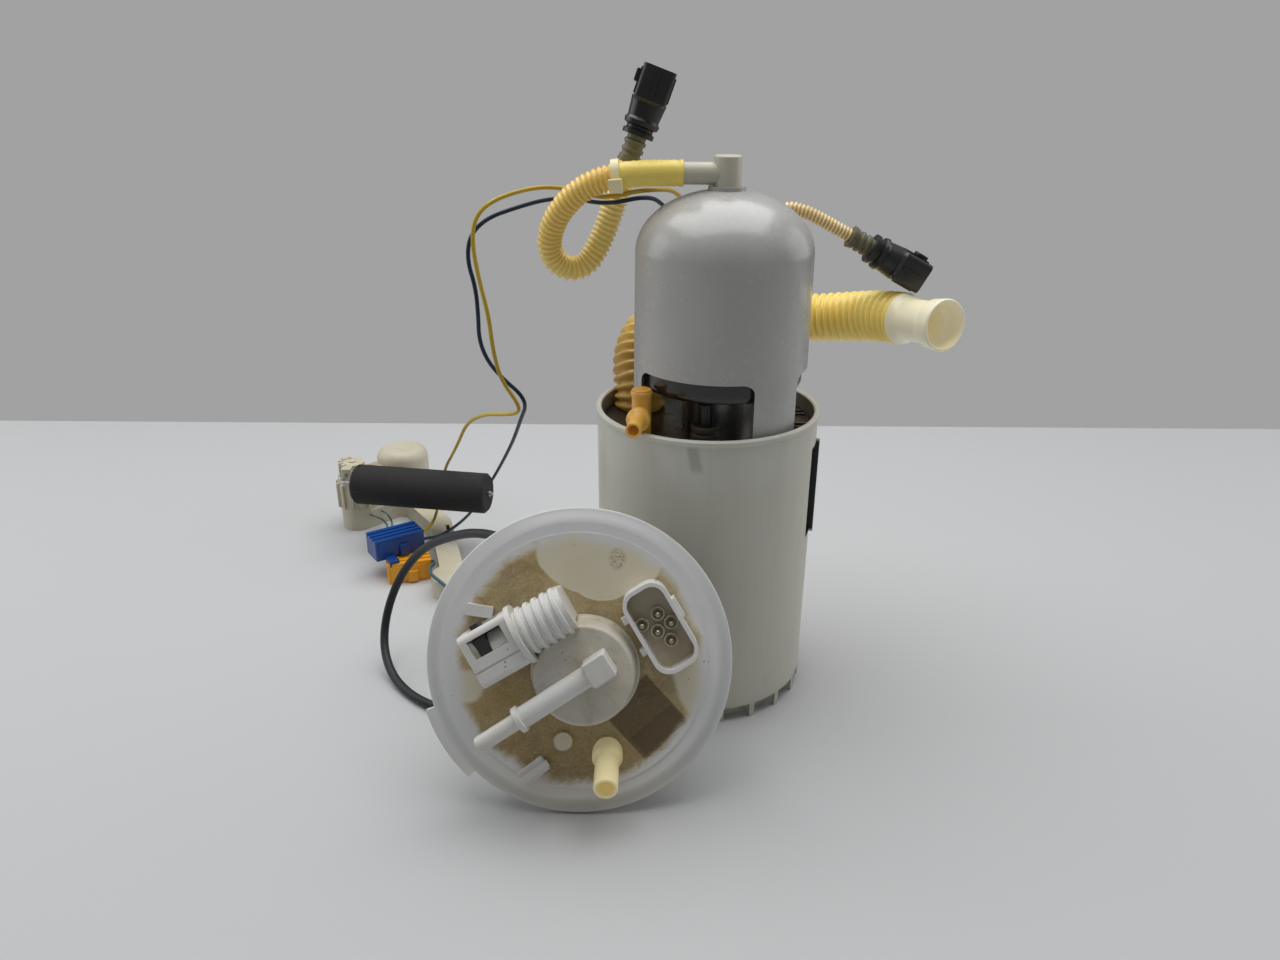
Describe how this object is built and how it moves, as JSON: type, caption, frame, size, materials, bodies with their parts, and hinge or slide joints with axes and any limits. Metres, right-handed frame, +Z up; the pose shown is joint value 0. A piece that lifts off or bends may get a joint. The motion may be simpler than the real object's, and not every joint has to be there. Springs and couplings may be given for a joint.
{
  "type": "fuel pump module",
  "caption": "In-tank pump module: cup with domed filter, loose tank flange, level sender with float arm, corrugated hoses, quick connectors and wiring.",
  "frame": {"origin": "centre of the reservoir's foot, on the surface that the parts stand on", "axes": "+Z up along the reservoir, +X right, +Y away from the flange's side"},
  "size_m": [0.4025, 0.3906, 0.334],
  "materials": {
    "cup_plastic": "satin off-white moulding",
    "black_plastic": "black moulding",
    "valve_rubber": "soft valve rubber",
    "mesh_plastic": "woven strainer",
    "pump_steel": "rolled tube",
    "pump_plastic": "fuel-proof moulding",
    "pump_iron": "core, magnets and carbon",
    "pump_copper": "commutator bars",
    "filter_paper": "pleated paper",
    "dome_plastic": "white moulding",
    "regulator_grey": "regulator can",
    "amber_plastic": "fuel-stained nozzle",
    "stem_plastic": "ribbed stem",
    "cuff_plastic": "smooth cuff",
    "flange_plastic": "white acetal",
    "latch_plastic": "dark latch",
    "pin_metal": "plated pins",
    "sender_plastic": "cream moulding",
    "card_ceramic": "ceramic card",
    "wire_steel": "spring wire",
    "float_foam": "closed-cell foam",
    "orange_plastic": "orange housing",
    "blue_plastic": "blue housing",
    "supply_amber": "corrugated hose",
    "transfer_cream": "corrugated hose",
    "tube_rubber": "black tube",
    "wire_yellow": "insulation",
    "wire_black": "insulation",
    "wire_teal": "insulation"
  },
  "bodies": {
    "module": {"reservoir_cup": "cup_plastic", "jet_pump": "black_plastic", "inlet_strainer": "mesh_plastic", "pump_holder": "black_plastic", "pump_housing": "pump_steel", "pump_inlet_cover": "pump_plastic", "pump_magnets": "pump_iron", "pump_brushes": "pump_iron", "pump_outlet_cover": "pump_plastic", "filter_bowl": "black_plastic", "filter_element": "filter_paper", "dome_cover": "dome_plastic", "outlet_elbow": "dome_plastic", "regulator_body": "regulator_grey", "regulator_cap": "black_plastic", "fill_elbow": "amber_plastic", "supply_stem": "stem_plastic", "supply_connector": "black_plastic", "return_stem": "stem_plastic", "return_connector": "black_plastic", "transfer_cuff": "cuff_plastic", "cable_tie": "dome_plastic", "flange_plate": "flange_plastic", "valve_cap": "flange_plastic", "vapour_pipe": "flange_plastic", "coupling_elbow": "flange_plastic", "coupling_cage": "flange_plastic", "socket_shroud": "flange_plastic", "socket_terminals": "pin_metal", "harness_plug": "black_plastic", "vent_nipple": "amber_plastic", "rollover_housing": "flange_plastic", "tube_elbow": "flange_plastic", "sender_body": "sender_plastic", "sender_card": "card_ceramic", "orange_connector": "orange_plastic", "blue_connector": "blue_plastic", "supply_hose": "supply_amber", "transfer_hose": "transfer_cream", "return_hose": "supply_amber", "return_tube": "tube_rubber", "pump_wire_yellow": "wire_yellow", "pump_wire_black": "wire_black", "sender_leads": "wire_teal", "flange_leads": "wire_teal"},
    "float_arm_body": {"sender_rotor": "sender_plastic", "float_arm": "wire_steel"},
    "float_body": {"float": "float_foam"},
    "supply_release_body": {"supply_release": "black_plastic"},
    "return_release_body": {"return_release": "black_plastic"},
    "latch_body": {"coupling_retainer": "latch_plastic"},
    "rotor_body": {"pump_armature": "pump_iron", "pump_commutator": "pump_copper", "pump_impeller": "pump_plastic"},
    "check_ball_body": {"pump_check_valve": "valve_rubber"},
    "plunger_body": {"regulator_plunger": "pump_steel"},
    "fill_valve_body": {"first_fill_valve": "valve_rubber"},
    "rollover_float_body": {"rollover_float": "black_plastic"}
  },
  "joints": [
    {"name": "float_arm_swing", "type": "hinge", "parent": "module", "child": "float_arm_body", "pos_m": [-0.257, 0.19, 0.048], "axis": [0, 0, 1], "range_deg": [-70, 0]},
    {"name": "float_spin", "type": "hinge", "parent": "float_arm_body", "child": "float_body", "pos_m": [-0.19583, 0.15082, 0.048], "axis": [0.9869, -0.1616, 0], "continuous": true},
    {"name": "supply_release_press", "type": "slide", "parent": "module", "child": "supply_release_body", "axis": [0.9406, 0, -0.3396], "range_m": [0, 0.0018], "stiffness_N_per_m": 600},
    {"name": "return_release_press", "type": "slide", "parent": "module", "child": "return_release_body", "axis": [-0.4741, 0, -0.8805], "range_m": [0, 0.0018], "stiffness_N_per_m": 600},
    {"name": "coupling_latch_slide", "type": "slide", "parent": "module", "child": "latch_body", "axis": [0.5, -0.3244, -0.803], "range_m": [0, 0.0015], "stiffness_N_per_m": 500},
    {"name": "pump_spin", "type": "hinge", "parent": "module", "child": "rotor_body", "pos_m": [0.0053, -0.008, 0.14275], "axis": [0, 0, 1], "continuous": true},
    {"name": "check_ball_lift", "type": "slide", "parent": "module", "child": "check_ball_body", "axis": [0, 0, 1], "range_m": [0, 0.0015], "stiffness_N_per_m": 20},
    {"name": "regulator_lift", "type": "slide", "parent": "module", "child": "plunger_body", "axis": [0, 0, 1], "range_m": [0, 0.0015], "stiffness_N_per_m": 300},
    {"name": "first_fill_lift", "type": "slide", "parent": "module", "child": "fill_valve_body", "axis": [0, 0, 1], "range_m": [0, 0.0015], "stiffness_N_per_m": 20},
    {"name": "rollover_lift", "type": "slide", "parent": "module", "child": "rollover_float_body", "axis": [0, -0.9272, 0.3746], "range_m": [0, 0.003]}
  ]
}
